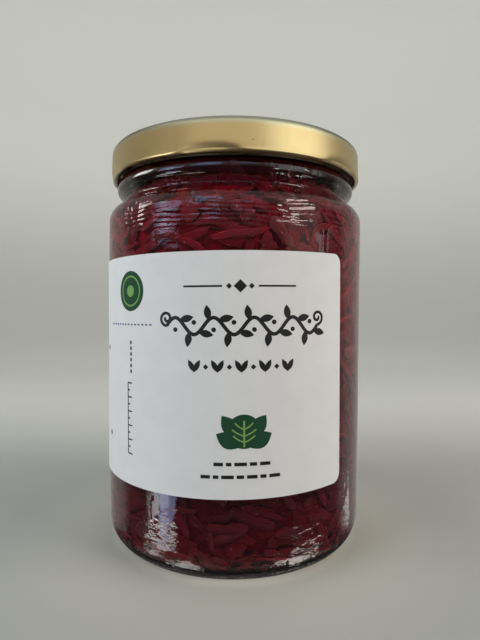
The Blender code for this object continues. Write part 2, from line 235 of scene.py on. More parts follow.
class Group(Finish):
    def __init__(self, name, inputs, outputs):
        self.tree = bpy.data.node_groups.new(name, "ShaderNodeTree")
        for label, kind, value in inputs:
            socket = self.tree.interface.new_socket(label, in_out="INPUT", socket_type=kind)
            if value is not None:
                socket.default_value = value
        for label, kind in outputs:
            self.tree.interface.new_socket(label, in_out="OUTPUT", socket_type=kind)
        self.given = self.tree.nodes.new("NodeGroupInput").outputs
        self.out = self.tree.nodes.new("NodeGroupOutput")


# Fine grain: a height that is the sum of a coarse and a fine noise, for paper, lacquer and rubber
def grainGroup():
    group = Group("fineGrain", [("Vector", "NodeSocketVector", None), ("Scale", "NodeSocketFloat", 1000.0),
                                ("Coarse", "NodeSocketFloat", 0.3)], [("Height", "NodeSocketFloat")])
    vector, scale, coarse = (group.given[key] for key in ("Vector", "Scale", "Coarse"))
    fine = group.noise(vector, scale, 3.0, 0.6)
    wide = group.noise(vector, group.times(scale, coarse), 1.0)
    group.feed(group.out, {"Height": group.plus(fine, wide)})
    return group.tree


# Handling marks: soft blotches with thin smears across them, as a mask from nought to one
def smudgeGroup():
    group = Group("handlingMarks", [("Vector", "NodeSocketVector", None), ("Scale", "NodeSocketFloat", 60.0)],
                  [("Mask", "NodeSocketFloat")])
    blotch = group.noise(group.given["Vector"], group.given["Scale"])
    smear = group.spots(group.given["Vector"], (900, 900, 120), 2.0, 0.6)
    group.feed(group.out, {"Mask": group.times(group.between(blotch, 0.5, 0.72),
                                               group.between(smear, 0.35, 0.75))})
    return group.tree


grain = grainGroup()
handling = smudgeGroup()


# The jar, in millimetres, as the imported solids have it
jar = dict(bodyRadius=43.5, wall=2.6, footInner=34.2, footOuter=37.2, pushUp=3.0, domeReach=30, heel=9.4,
           shoulderStart=105.2, shoulderWidth=5.2, shoulderHeight=5.8, notchRadius=38.0, notchHeight=112.6,
           beadRadius=40.7, beadHeight=116.3, beadWidth=2.1, beadTall=2.5,
           finish=38.9, bore=35.4, rim=127.6, rimOuter=1.2, rimInner=1.1,
           floorEdge=3.2, floorMiddle=6.0, floorRadius=35.3, innerHeel=8.0,
           innerShoulder=3.3, neckHeight=111.6, neckBend=2.0, softOuter=0.35, softInner=0.45,
           threadMiddle=123.0, threadHeight=1.4, threadHalf=1.2, threadFall=2.0,
           sides=224, wave=0.02, innerWave=0.05, brine=119.0)
jar["inner"] = jar["bodyRadius"] - jar["wall"]
lugs = dict(count=6, first=math.radians(-100), halfAngle=math.radians(16.5), depth=0.6, rise=1.9)


def outerGlass():
    base = np.linspace(0, jar["domeReach"], 12)
    dome = np.stack([base, jar["pushUp"] * (1 - (base / jar["footInner"]) ** 2)], 1)
    foot = [(jar["footInner"], 0.0)]
    heel = arc(jar["footOuter"], jar["heel"], jar["bodyRadius"] - jar["footOuter"], jar["heel"], -90, 0, 24)
    shoulder = arc(jar["bodyRadius"] - jar["shoulderWidth"], jar["shoulderStart"],
                   jar["shoulderWidth"], jar["shoulderHeight"], 0, 78, 20)
    notch = [(jar["notchRadius"], jar["notchHeight"])]
    bead = arc(jar["beadRadius"] - jar["beadWidth"], jar["beadHeight"], jar["beadWidth"], jar["beadTall"],
               -62, 62, 16)
    neck = [(jar["finish"], jar["threadMiddle"] - jar["threadHalf"]),
            (jar["finish"] + jar["threadHeight"], jar["threadMiddle"] - jar["threadHalf"] / 3),
            (jar["finish"] + jar["threadHeight"], jar["threadMiddle"] + jar["threadHalf"] / 3),
            (jar["finish"], jar["threadMiddle"] + jar["threadHalf"])]
    rim = arc(jar["finish"] - jar["rimOuter"], jar["rim"] - jar["rimOuter"], jar["rimOuter"],
              jar["rimOuter"], 0, 90, 8)
    return np.concatenate([dome, foot, heel, shoulder, notch, bead, neck, rim])


# The inside, from the middle of the floor up the wall and the bore to the rim
def innerGlass():
    base = np.linspace(0, jar["floorRadius"] - 1, 14)
    rise = (jar["floorMiddle"] - jar["floorEdge"]) * (1 - (base / jar["floorRadius"]) ** 2)
    floor = np.stack([base, jar["floorEdge"] + rise], 1)
    heel = arc(jar["floorRadius"], jar["floorEdge"] + jar["innerHeel"],
               jar["inner"] - jar["floorRadius"], jar["innerHeel"], -90, 0, 20)
    shoulder = arc(jar["bodyRadius"] - jar["shoulderWidth"], jar["shoulderStart"],
                   jar["inner"] - jar["bodyRadius"] + jar["shoulderWidth"], jar["innerShoulder"], 0, 78, 16)
    neck = arc(jar["bore"] + jar["neckBend"], jar["neckHeight"], jar["neckBend"], jar["neckBend"],
               250, 180, 10)
    rim = arc(jar["bore"] + jar["rimInner"], jar["rim"] - jar["rimInner"], jar["rimInner"],
              jar["rimInner"], 180, 90, 8)
    return np.concatenate([floor, heel, shoulder, neck, rim])


insideLine = softened(innerGlass(), jar["softInner"])


# Slow waves in both faces of the glass, and six thread starts that fade at both ends
def glassRelief(angle, radius, height):
    start = (angle - lugs["first"]) * lugs["count"] / (2 * math.pi)
    share = start - np.floor(start)
    onNeck = np.abs(height - jar["threadMiddle"]) < jar["threadHalf"] + 0.3
    ridge = np.maximum(radius - jar["finish"], 0) * onNeck * (radius > jar["finish"] - 0.5)
    fade = np.minimum(1, np.minimum(share, 1 - share) * 5)
    radius = radius - ridge * (1 - smoothStep(0, 1, fade))
    height = height + jar["threadFall"] * (0.5 - share) * smoothStep(0, 0.6, ridge)
    insideRadius = np.interp(height, insideLine[:, 1], insideLine[:, 0])
    outside = smoothStep(0.6, 1.6, radius - insideRadius) * smoothStep(6, 14, height)
    swell = jar["wave"] * (unevenness(angle, height, 3) - 2.5)
    inside = jar["innerWave"] * unevenness(angle, height, 9, 14, 16, 18.0) * smoothStep(9, 14, height)
    calm = 1 - smoothStep(113, 116, height)                # the neck stays true for the lid
    onWall = (height > 8) * (radius > 33)
    radius = radius + calm * (outside * swell + (1 - outside) * inside * onWall)
    return radius, height


# The inner faces that the brine wets are told apart, because wet glass hardly shines
def makeGlass():
    outline = thinned(np.concatenate([softened(outerGlass(), jar["softOuter"]), insideLine[::-1]]), 6.0, 2.4)
    piece = turnedPiece("clearJar", outline, jar["sides"], glassRelief)
    middle = (outline[1:-2] + outline[2:-1]) / 2
    away = np.hypot(*(middle[:, None] - insideLine[None]).transpose(2, 0, 1)).min(1)
    wet = np.repeat((away < 0.12) & (middle[:, 1] < jar["brine"]), jar["sides"])
    slots = np.concatenate([wet, np.zeros(jar["sides"]), np.ones(jar["sides"])]).astype(np.int32)
    piece.data.polygons.foreach_set("material_index", slots)
    return piece


wetShine = 0.05          # a wet face of the glass hardly shines


# Glass that lets lamps' rays through, so that what is inside is lit
def clearFinish(name, colour, index, shine=1.0):
    mat = Finish(name)
    mat.feed(mat.shader, {"Base Color": (*colour, 1), "Roughness": 0.0, "IOR": index,
                          "Transmission Weight": 1.0, "Specular Tint": (shine, shine, shine, 1)})
    path = mat.add("LightPath").outputs
    passing = mat.add("BsdfTransparent", {"Color": (*colour, 1)}).outputs[0]
    share = mat.math("MAXIMUM", path["Is Shadow Ray"], path["Is Diffuse Ray"])
    both = mat.add("MixShader", {0: share, 1: mat.shader.outputs[0], 2: passing}).outputs[0]
    mat.feed(mat.output, {"Surface": both})
    return mat


# The look of the glass: its tint, a painted shade of dark brown over its lowest few millimetres, the depth in
# millimetres of each pattern in it, and the heights in metres where each pattern and the painted shade rise
# and fade
glassLook = dict(clear=(0.985, 0.995, 0.99), index=1.5, smeared=0.05, footShadeTint=(0.34, 0.27, 0.25),
                 footShadeHeights=(0.0030, 0.0012), swell=0.13, short=(0.02, 0.11),
                 seam=0.02, seamEdges=(0.00028, 0.00008), ripple=0.035, rippleLength=0.0013,
                 rippleDrift=22.0, rippled=(0.0985, 0.1015, 0.1065, 0.1095),
                 crumple=0.17, crumpled=(0.092, 0.102, 0.1125, 0.1145), heel=(0.024, 0.011, 0.0, 1.4),
                 knurl=0.03, knurlScale=620.0, knurled=(0.0008, 0.0016, 0.0030, 0.0042), wetWaves=0.25)


# Slow swells, short waves in patches, a mould seam, ripples that run round the shoulder, crumples on the
# shoulder and the heel, and the small knurls on the foot, all summed into one height
def glassFinish():
    look = glassLook
    mat = clearFinish("jarGlass", look["clear"], look["index"])
    place = mat.place()
    high = mat.axis(place, "Z")
    # painted shade: the foot of the glass is tinted dark, standing for the shaded floor seen through it
    tint = mat.mix(mat.between(high, *look["footShadeHeights"]), look["clear"], look["footShadeTint"])
    swell = mat.times(mat.spots(place, (75, 75, 130)), look["swell"])
    patches = mat.between(mat.noise(place, 60.0, 1.0), 0.35, 0.65, *look["short"])
    short = mat.times(mat.spots(place, (210, 210, 330)), patches)
    seam = mat.math("ABSOLUTE", mat.axis(place, "Y"))
    seam = mat.between(seam, *look["seamEdges"], 0.0, look["seam"])
    drift = mat.times(mat.spots(place, (60, 60, 90), 1.0), look["rippleDrift"])
    phase = mat.plus(mat.times(high, 2 * math.pi / look["rippleLength"]), drift)
    patches = mat.between(mat.noise(place, 85.0, 1.0), 0.34, 0.56, 0.2, 1.0)
    rippled = mat.times(mat.band(high, *look["rippled"]), patches)
    ripple = mat.times(mat.math("SINE", phase), rippled, look["ripple"])
    crumpled = mat.plus(mat.band(high, *look["crumpled"]), mat.between(high, *look["heel"]))
    crumple = mat.times(mat.spots(place, (230, 230, 620)), mat.times(crumpled, look["crumple"]))
    knurls = mat.add("TexVoronoi", {"Vector": place, "Scale": look["knurlScale"]}).outputs["Distance"]
    knurls = mat.times(mat.between(knurls, 0.5, 0.1), mat.band(high, *look["knurled"]), look["knurl"])
    height = mat.plus(swell, short, mat.plus(ripple, knurls), seam, crumple)
    mat.feed(mat.shader, {"Base Color": tint, "Normal": mat.bumped(height, 1.0, mm),
                          "Roughness": mat.times(mat.marked(place, 55.0), look["smeared"])})
    return mat.material


def wetFinish():
    mat = clearFinish("wetGlass", glassLook["clear"], glassLook["index"], wetShine)
    waves = mat.times(mat.spots(mat.place(), (260, 260, 330)), glassLook["wetWaves"])
    mat.feed(mat.shader, {"Normal": mat.bumped(waves, 1.0, mm)})
    return mat.material


glass = makeGlass()
glass.data.materials.append(glassFinish())
glass.data.materials.append(wetFinish())
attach(glass, "root")
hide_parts("jar_glass")
print("glass made:", len(glass.data.polygons), "faces")


# The brine fills the jar up to its level and reaches just into the wall of the glass
brine = dict(intoWall=0.13, meniscus=0.9, edge=0.9, sides=160,
             colour=(0.93, 0.06, 0.32), density=520.0, index=1.345)


def makeBrine():
    below = insideLine[insideLine[:, 1] < jar["brine"] + brine["meniscus"]]
    below = below[:np.argmax(below[:, 1]) + 1]
    step = np.gradient(below, axis=0)
    outward = np.stack([step[:, 1], -step[:, 0]], 1) / np.hypot(*step.T)[:, None]
    wall = below + brine["intoWall"] * outward
    wall[0, 0] = 0
    across = np.linspace(wall[-1, 0], 0, 60)[1:]
    rise = brine["meniscus"] * np.exp(-(wall[-1, 0] - across) / brine["edge"])
    top = np.stack([across, jar["brine"] + rise], 1)
    return turnedPiece("brine", thinned(np.concatenate([wall, top]), 8.0, 5.0), brine["sides"])


def brineFinish():
    mat = clearFinish("brine", (1, 1, 1), brine["index"], wetShine)
    inside = mat.add("VolumeAbsorption", {"Color": (*brine["colour"], 1), "Density": brine["density"]})
    mat.feed(mat.output, {"Volume": inside.outputs[0]})
    return mat.material


liquid = makeBrine()
liquid.data.materials.append(brineFinish())
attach(liquid, "root")
print("brine made")


# Kinds of shred, in millimetres: how many, how long, wide and thick, how far the edges bow off the glass,
# and how uneven the edges are
kinds = {
    "leafShreds": dict(share=0.33, length=(6, 19), width=(1.5, 3.2), thick=(0.3, 0.5),
                       bow=(0.02, 0.12), ragged=0.10),
    "fineShreds": dict(share=0.15, length=(4, 13), width=(0.7, 1.4), thick=(0.3, 0.45),
                       bow=(0.0, 0.06), ragged=0.08),
    "leafPieces": dict(share=0.31, length=(4, 10.5), width=(3.0, 6.6), thick=(0.25, 0.45),
                       bow=(0.02, 0.2), ragged=0.13),
    "ribShreds": dict(share=0.10, length=(5, 13), width=(1.4, 2.8), thick=(0.5, 0.9),
                      bow=(0.0, 0.06), ragged=0.05),
    "onionStrips": dict(share=0.11, length=(6, 15), width=(1.8, 4.0), thick=(0.35, 0.5),
                        bow=(0.02, 0.2), ragged=0.07),
}
# The heap: how many shreds are tried on the wall, the floor and the top, how close they lie to the glass and
# how deep, how they turn and taper, and the core behind them; bend and wriggle grow with a shred's length
heap = dict(seed=21, wallCount=4300, floorCount=520, topCount=340, square=80.0, reach=32.5, top=118.3,
            clearance=0.12, cell=0.4, deepest=1.9, margin=0.3, packing=0.9, stations=8, lanes=9,
            levelShare=0.55, levelSpread=0.42, bend=0.55, bendLength=16, bendMost=1.6,
            wriggle=0.22, wriggleLength=14, wriggleMost=1.5, taper=0.35, taperPower=(4, 14), slant=0.8,
            coreDepth=1.7, coreBumps=0.5, coreMost=1.2, coreSides=150, sharpAngle=50)
ringAcross = np.array([-0.5, -0.43, 0.0, 0.43, 0.5, 0.43, 0.0, -0.43])
ringInside = np.array([0.5, 0.02, 0.0, 0.02, 0.5, 0.98, 1.0, 0.98])


# The inside of the glass as a walk up from the floor's edge: radius, height and the way inwards at each step
def wallWalk():
    line = insideLine[(insideLine[:, 0] > 30) & (insideLine[:, 1] < heap["top"])]
    walked = np.concatenate([[0], np.cumsum(np.hypot(*np.diff(line, axis=0).T))])
    step = np.gradient(line, axis=0)
    inward = np.stack([-step[:, 1], step[:, 0]], 1) / np.hypot(*step.T)[:, None]
    return walked, line, inward


wallSteps, wallLine, wallInward = wallWalk()


# A place on the wall: so far round, so far up the walk, and so deep in from the glass
def onWall(along, up, depth):
    r = np.interp(up, wallSteps, wallLine[:, 0]) + depth * np.interp(up, wallSteps, wallInward[:, 0])
    z = np.interp(up, wallSteps, wallLine[:, 1]) + depth * np.interp(up, wallSteps, wallInward[:, 1])
    turn = along / jar["inner"]
    return np.stack([r * np.cos(turn), r * np.sin(turn), z], -1)


# A place on the domed floor or on the gently swelling top: x and y in a square round the axis, and the depth
def onFloor(x, y, depth):
    x, y = x - heap["square"] / 2, y - heap["square"] / 2
    rise = (jar["floorMiddle"] - jar["floorEdge"]) * (1 - np.hypot(x, y) ** 2 / jar["floorRadius"] ** 2)
    return np.stack([x, y, jar["floorEdge"] + rise + depth], -1)


def onTop(x, y, depth):
    x, y = x - heap["square"] / 2, y - heap["square"] / 2
    return np.stack([x, y, heap["top"] + 0.8 * np.cos(x / 9) * np.cos(y / 7) - depth], -1)


# Random shreds: each a line whose heading bends and wriggles as it goes, with its kind's sizes; its half
# width tapers by a power of the distance from its middle
def drawShreds(rng, count, wide, tall, levelShare):
    names = list(kinds)
    kind = rng.choice(len(names), count, p=[kinds[n]["share"] for n in names])
    pick = lambda key: np.array([rng.uniform(*kinds[names[k]][key]) for k in kind])
    steps = np.linspace(-0.5, 0.5, heap["stations"])[None, :]
    length, width, thick, bow = (pick(key)[:, None] for key in ("length", "width", "thick", "bow"))
    ragged = np.array([kinds[names[k]]["ragged"] for k in kind])[:, None]
    heading = np.where(rng.random((count, 1)) < levelShare, rng.normal(0, heap["levelSpread"], (count, 1)),
                       rng.uniform(-math.pi / 2, math.pi / 2, (count, 1)))
    bend = rng.normal(0, heap["bend"], (count, 1)) * np.minimum(length / heap["bendLength"], heap["bendMost"])
    wriggle = rng.normal(0, heap["wriggle"], (count, 1))
    wriggle = wriggle * np.minimum(length / heap["wriggleLength"], heap["wriggleMost"])
    way = heading + bend * steps + wriggle * np.cos(2 * math.pi * steps + rng.uniform(0, 6, (count, 1)))
    stride = length / (heap["stations"] - 1)
    alongU = np.cumsum(np.cos(way) * stride, 1)
    alongV = np.cumsum(np.sin(way) * stride, 1)
    middle = heap["stations"] // 2
    u = rng.uniform(0, wide, (count, 1)) + alongU - alongU[:, middle:middle + 1]
    v = rng.uniform(0, tall, (count, 1)) + alongV - alongV[:, middle:middle + 1]
    out = np.abs(2 * steps)
    taper = 1 - heap["taper"] * out ** rng.uniform(*heap["taperPower"], (count, 1))
    half = width / 2 * taper * (1 + ragged * rng.normal(0, 1, (count, heap["stations"])))
    slant = rng.normal(0, heap["slant"], (count, 2))[:, :, None] * np.stack([steps[0] < 0, steps[0] > 0])
    return dict(kind=kind, u=u, v=v, half=half, way=way, thick=thick[:, 0], bow=bow[:, 0],
                slant=slant.sum(1) * out ** 6, along=length * (steps + 0.5), tone=rng.random(count))


# The largest or the mean of each value and its neighbours, three to each side
def smeared(values, how, reach=3):
    padded = np.pad(values, ((reach, reach), (0, 0)), "edge")
    return how([padded[k:k + len(values)] for k in range(2 * reach + 1)], axis=0)


# Lay the shreds one after another: the first lie on the glass, and each later one lies behind what it
# crosses. A shred's left and right edge each take their depth from what lies under two thirds of its lanes
def layShreds(shreds, wide, tall, wraps):
    cell, stations = heap["cell"], heap["stations"]
    ground = np.zeros((int(tall / cell) + 1, int(wide / cell) + 1))
    columns = ground.shape[1]
    count = len(shreds["kind"])
    depth = np.zeros((count, stations, 2))
    kept = np.zeros(count, bool)
    station = np.arange(stations)
    fine = np.linspace(0, stations - 1, 3 * stations)
    lane = np.linspace(-1, 1, heap["lanes"])
    third = heap["lanes"] // 3
    for i in range(count):
        middleU, middleV, reach, turn = (np.interp(fine, station, shreds[key][i])
                                         for key in ("u", "v", "half", "way"))
        laneU = middleU[:, None] - (reach * np.sin(turn))[:, None] * lane
        laneV = middleV[:, None] + (reach * np.cos(turn))[:, None] * lane
        if laneV.min() < heap["margin"] or laneV.max() > tall - heap["margin"]:
            continue
        if not wraps and np.hypot(laneU - wide / 2, laneV - tall / 2).max() > wide / 2:
            continue
        row, column = (laneV / cell).astype(int), (laneU / cell).astype(int)
        if wraps:
            column = column % columns
        under = ground[row, column]
        sides = np.stack([under[:, :2 * third].max(1), under[:, third:].max(1)], 1)
        rest = smeared(smeared(sides, np.max), np.mean)
        if rest.mean() > heap["deepest"]:
            continue
        kept[i] = True
        for side in range(2):
            depth[i, :, side] = np.interp(station, fine, rest[:, side])
        share = (lane + 1) / 2
        top = rest[:, :1] * (1 - share) + rest[:, 1:] * share + shreds["thick"][i] * heap["packing"]
        np.maximum.at(ground, (row, column), top)
    return depth, kept


# Each shred is a flattened ring carried along its line, its edges bowed off the glass, closed at both ends
def shredSurfaces(shreds, depth, kept, toSpace):
    u, v, half, way, slant = (shreds[key][kept][:, :, None] for key in ("u", "v", "half", "way", "slant"))
    thick, bow = shreds["thick"][kept][:, None, None], shreds["bow"][kept][:, None, None]
    depth = depth[kept]
    ends = np.ones(heap["stations"])
    ends[[0, -1]] = 0.85
    across = ringAcross * ends[:, None]
    inside = 0.5 + (ringInside - 0.5) * ends[:, None]
    side = ringAcross + 0.5
    pressed = depth[:, :, :1] * (1 - side) + depth[:, :, 1:] * side
    inwards = heap["clearance"] + pressed + bow * (2 * across) ** 2 + thick * inside
    aside = 2 * half * across
    alongU = u - aside * np.sin(way) + aside * slant * np.cos(way)
    alongV = v + aside * np.cos(way) + aside * slant * np.sin(way)
    points = toSpace(alongU, alongV, inwards)
    lie = np.stack([shreds["along"][kept][:, :, None] + 0 * inwards, 2 * half * across,
                    inside + 0 * inwards], -1)
    tone = shreds["tone"][kept][:, None, None] + 0 * inwards
    return points, lie, tone


def ringFaces(count):
    ring, rows = len(ringAcross), heap["stations"]
    walls = ringWalls(rows, ring).reshape(-1, 4)
    cap = np.array([(1, 2, 6, 7), (2, 3, 5, 6)])
    tips = np.array([(0, 1, 7), (3, 4, 5)])
    far = ring * (rows - 1)
    quads = np.concatenate([walls, cap[:, ::-1], cap + far])
    triangles = np.concatenate([tips[:, ::-1], tips + far])
    shift = (ring * rows * np.arange(count))[:, None, None]
    return (quads[None] + shift).reshape(-1, 4), (triangles[None] + shift).reshape(-1, 3)


def makeShreds():
    rng = np.random.default_rng(heap["seed"])
    wallWide = 2 * math.pi * jar["inner"]
    square = heap["square"]
    families = [(heap["wallCount"], wallWide, wallSteps[-1], heap["levelShare"], onWall),
                (heap["floorCount"], square, square, 0.0, onFloor),
                (heap["topCount"], square, square, 0.0, onTop)]
    gathered = {name: [] for name in kinds}
    for count, wide, tall, levelShare, toSpace in families:
        shreds = drawShreds(rng, count, wide, tall, levelShare)
        wraps = toSpace is onWall
        if not wraps:
            near = np.hypot(shreds["u"] - wide / 2, shreds["v"] - tall / 2).max(1) < heap["reach"]
            shreds = {key: value[near] for key, value in shreds.items()}
        depth, kept = layShreds(shreds, wide, tall, wraps)
        for number, name in enumerate(kinds):
            chosen = kept & (shreds["kind"] == number)
            if not chosen.any():
                continue
            points, lie, tone = shredSurfaces(shreds, depth, chosen, toSpace)
            quads, triangles = ringFaces(len(points))
            if signedVolume(points.reshape(-1, 3), quads) < 0:
                quads, triangles = quads[:, ::-1], triangles[:, ::-1]
            gathered[name].append((points.reshape(-1, 3), lie.reshape(-1, 3), tone.ravel(), quads, triangles))
    pieces = {}
    for name, parts in gathered.items():
        starts = np.cumsum([0] + [len(part[0]) for part in parts])
        points, lie, tone = (np.concatenate([part[k] for part in parts]) for k in range(3))
        quads = np.concatenate([part[3] + start for part, start in zip(parts, starts)])
        triangles = np.concatenate([part[4] + start for part, start in zip(parts, starts)])
        piece = addMesh(name, points, quads, triangles, heap["sharpAngle"])
        piece.data.attributes.new("lie", "FLOAT_VECTOR", "POINT").data.foreach_set("vector", lie.ravel())
        piece.data.attributes.new("tone", "FLOAT", "POINT").data.foreach_set("value", tone)
        pieces[name] = piece
        print(name, "made:", 2 * len(quads) + len(triangles), "triangles")
    return pieces


# The middle of the heap behind the shreds, dark and ridged
def makeCore():
    deep = heap["coreDepth"]
    up = np.linspace(1.5, wallSteps[-1] - 0.5, 60)
    wall = onWall(0 * up, up, deep)
    side = np.stack([wall[:, 0], wall[:, 2]], 1)
    bottom = np.stack([np.linspace(0, side[0, 0], 16)[:-1], np.full(15, side[0, 1])], 1)
    bottom[:, 1] = jar["floorMiddle"] + deep - 0.6
    side = side[side[:, 1] > bottom[-1, 1] + 0.3]
    top = np.stack([np.linspace(side[-1, 0], 0, 16)[1:], np.full(15, heap["top"] - deep)], 1)

    def relief(angle, radius, height):
        bumps = heap["coreBumps"] * unevenness(angle, height, 31, 40, 46, 9.0)
        bumps = np.clip(bumps, -heap["coreMost"], heap["coreMost"])
        return radius + smoothStep(0, 12, radius) * bumps, height

    return turnedPiece("heapCore", np.concatenate([bottom, side, top]), heap["coreSides"], relief)


# Light and shade painted onto the cabbage by height, as heights in metres and the amounts that they are
# worth:
# painted shade darkens it towards the bottom and under the shoulder's bend, painted light brightens it near
# the floor and in the neck
heightLightAndShade = dict(rise=(0.0, 0.100, 0.66, 1.22), bottom=(0.013, 0.004, 0.0, 0.45),
                shoulder=(0.104, 0.109, 0.0, -0.55), neck=(0.1115, 0.115, 0.0, 0.35),
                core=(0.0, 0.115, 0.55, 1.15))
shredLook = dict(browned=(0.095, 0.024, 0.024), speck=(0.36, 0.17, 0.16), speckShare=0.45, toneShare=0.75,
                 blotchShare=0.6, roughness=0.32, index=1.25, bump=0.4, bumpDepth=0.0004,
                 softness=0.5, softColours=(1.0, 0.3, 0.3), softDepth=0.0012)


# Colour of wet cabbage: a dark and a bright tone mixed by the shred's own tone and by blotches,
# paler towards its cut edges, with fine lines along it, then scaled by light and shade painted by height
def shredFinish(name, dark, bright, pale, patch, fibres, edge):
    look = shredLook
    mat = Finish(name)
    lie = mat.add("Attribute", attribute_name="lie").outputs["Vector"]
    tone = mat.add("Attribute", attribute_name="tone").outputs["Fac"]
    place = mat.place()
    blotch = mat.noise(place, 420.0, 3.0, 0.6)
    wide = mat.noise(place, 110.0, 1.0)
    mixed = mat.plus(mat.times(tone, look["toneShare"]), mat.times(blotch, look["blotchShare"]))
    colour = mat.mix(mat.between(mixed, 0.25, 1.1), dark, bright)
    browned = mat.times(mat.between(wide, 0.45, 0.65), patch)
    colour = mat.mix(browned, colour, look["browned"])
    lines = mat.spots(lie, (0.16, 1.5, 1.2), 3.0, 0.65)
    colour = mat.mix(mat.times(mat.between(lines, 0.5, 0.75), fibres), colour, pale)
    specks = mat.between(mat.noise(place, 760.0, 1.0), 0.70, 0.78)
    colour = mat.mix(mat.times(specks, look["speckShare"]), colour, look["speck"])
    fromMiddle = mat.math("ABSOLUTE", mat.math("SUBTRACT", mat.axis(lie, "Z"), 0.5))
    cut = mat.between(fromMiddle, 0.42, 0.1)
    colour = mat.mix(mat.times(cut, edge), colour, pale)
    high = mat.axis(place, "Z")
    # painted light and shade by height scales the cabbage's colour
    paintedShading = mat.plus(*(mat.between(high, *heightLightAndShade[key])
                         for key in ("rise", "bottom", "shoulder", "neck")))
    bump = mat.bumped(mat.plus(lines, blotch), look["bump"], look["bumpDepth"])
    mat.feed(mat.shader, {"Base Color": mat.scaled(colour, paintedShading), "Roughness": look["roughness"],
                          "IOR": look["index"], "Subsurface Weight": look["softness"],
                          "Subsurface Radius": look["softColours"],
                          "Subsurface Scale": look["softDepth"], "Normal": bump})
    return mat.material


coreLook = dict(dark=(0.15, 0.008, 0.016), bright=(0.23, 0.015, 0.027), roughness=0.5, index=1.2)


# The core has patches of two tones, flattened like the shreds, and the same painted shade that darkens it
# towards the bottom
def coreFinish():
    mat = Finish("heapCore")
    place = mat.place()
    patches = mat.add("TexVoronoi", {"Vector": mat.stretched(place, (240, 240, 420)), "Scale": 1.0},
                      feature="SMOOTH_F1").outputs["Color"]
    grey = mat.add("SeparateColor", {0: patches}).outputs[0]
    colour = mat.mix(grey, coreLook["dark"], coreLook["bright"])
    # painted shade by height: the core darkens towards the bottom
    colour = mat.scaled(colour, mat.between(mat.axis(place, "Z"), *heightLightAndShade["core"]))
    bump = mat.bumped(mat.noise(place, 500.0, 3.0), 0.6, 0.0005)
    mat.feed(mat.shader, {"Base Color": colour, "Roughness": coreLook["roughness"],
                          "IOR": coreLook["index"], "Normal": bump})
    return mat.material


# For each kind: its dark and bright tone, its paler cut edges and lines, and how much of it is browned,
# lined and edged
shredTones = {
    "leafShreds": ((0.110, 0.006, 0.013), (0.180, 0.011, 0.021), (0.27, 0.05, 0.06), 0.6, 0.25, 0.45),
    "fineShreds": ((0.120, 0.008, 0.015), (0.190, 0.013, 0.024), (0.30, 0.07, 0.08), 0.4, 0.2, 0.35),
    "leafPieces": ((0.095, 0.006, 0.012), (0.160, 0.011, 0.019), (0.26, 0.05, 0.06), 0.8, 0.3, 0.5),
    "ribShreds": ((0.130, 0.012, 0.019), (0.205, 0.020, 0.030), (0.31, 0.09, 0.10), 0.4, 0.3, 0.25),
    "onionStrips": ((0.105, 0.022, 0.023), (0.165, 0.035, 0.036), (0.27, 0.10, 0.10), 0.5, 0.35, 0.3),
}
shredLooks = {name: shredFinish(name, *tones) for name, tones in shredTones.items()}
shredPieces = makeShreds()
core = makeCore()
core.data.materials.append(coreFinish())
for name, piece in shredPieces.items():
    piece.data.materials.append(shredLooks[name])
for piece in (core, *shredPieces.values()):
    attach(piece, "root")
    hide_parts("cabbage")
print("cabbage heap made")


# The lid, in millimetres
lid = dict(radius=42.35, foot=42.55, top=129.6, corner=2.3, sheet=0.5, curl=0.75, curlHeight=120.1,
           skirt=122.0, panelDrop=1.1, panel=35.4, step=1.1, button=11.5, buttonRise=0.45, slope=1.2,
           ring=24.0, ringWidth=1.0, ringHeight=0.32, sides=288, soft=0.12, swell=0.015)


def lidOutline():
    panel, thin = lid["top"] - lid["panelDrop"], lid["sheet"]
    middle, step = panel + lid["buttonRise"], lid["panel"] + lid["step"]
    slope, inside = lid["button"] - lid["slope"], lid["corner"] - thin
    centre = (lid["radius"] - lid["corner"], lid["top"] - lid["corner"])
    return np.concatenate([
        [(0, middle), (slope, middle), (lid["button"], panel)],
        arc(lid["ring"], panel - 0.05, lid["ringWidth"], lid["ringHeight"], 180, 0, 10),
        [(lid["panel"], panel), (step, lid["top"])],
        arc(*centre, lid["corner"], lid["corner"], 90, 0, 16),
        [(lid["foot"] - 0.03, lid["skirt"])],
        arc(lid["foot"] + 0.1 - lid["curl"], lid["curlHeight"], lid["curl"], lid["curl"], 35, -200, 20),
        [(lid["foot"] - thin, lid["skirt"])],
        arc(*centre, inside, inside, 0, 90, 10),
        [(step + 0.3, lid["top"] - thin), (lid["panel"] + 0.3, panel - thin), (lid["button"], panel - thin),
         (slope, middle - thin), (0, middle - thin)]])


# Each lug is the rolled edge pressed inwards under a low arch: 1 - share squared, share being how far round
# the lug a place is
def lugRelief(angle, radius, height):
    pitch = 2 * math.pi / lugs["count"]
    nearest = (angle - lugs["first"] + pitch / 2) % pitch - pitch / 2
    share = np.abs(nearest) / lugs["halfAngle"]
    arch = lid["curlHeight"] - lid["curl"] + lugs["rise"] * np.clip(1 - share ** 2, 0, 1)
    pressed = smoothStep(0.6, -0.9, height - arch) * smoothStep(1.0, 0.6, share)
    onEdge = (height < lid["curlHeight"] + 2.6) * (radius > 40)
    swell = lid["swell"] * unevenness(angle, height, 41, 8, 5, 60.0) * smoothStep(20, 40, radius)
    return radius - lugs["depth"] * pressed * onEdge + swell, height


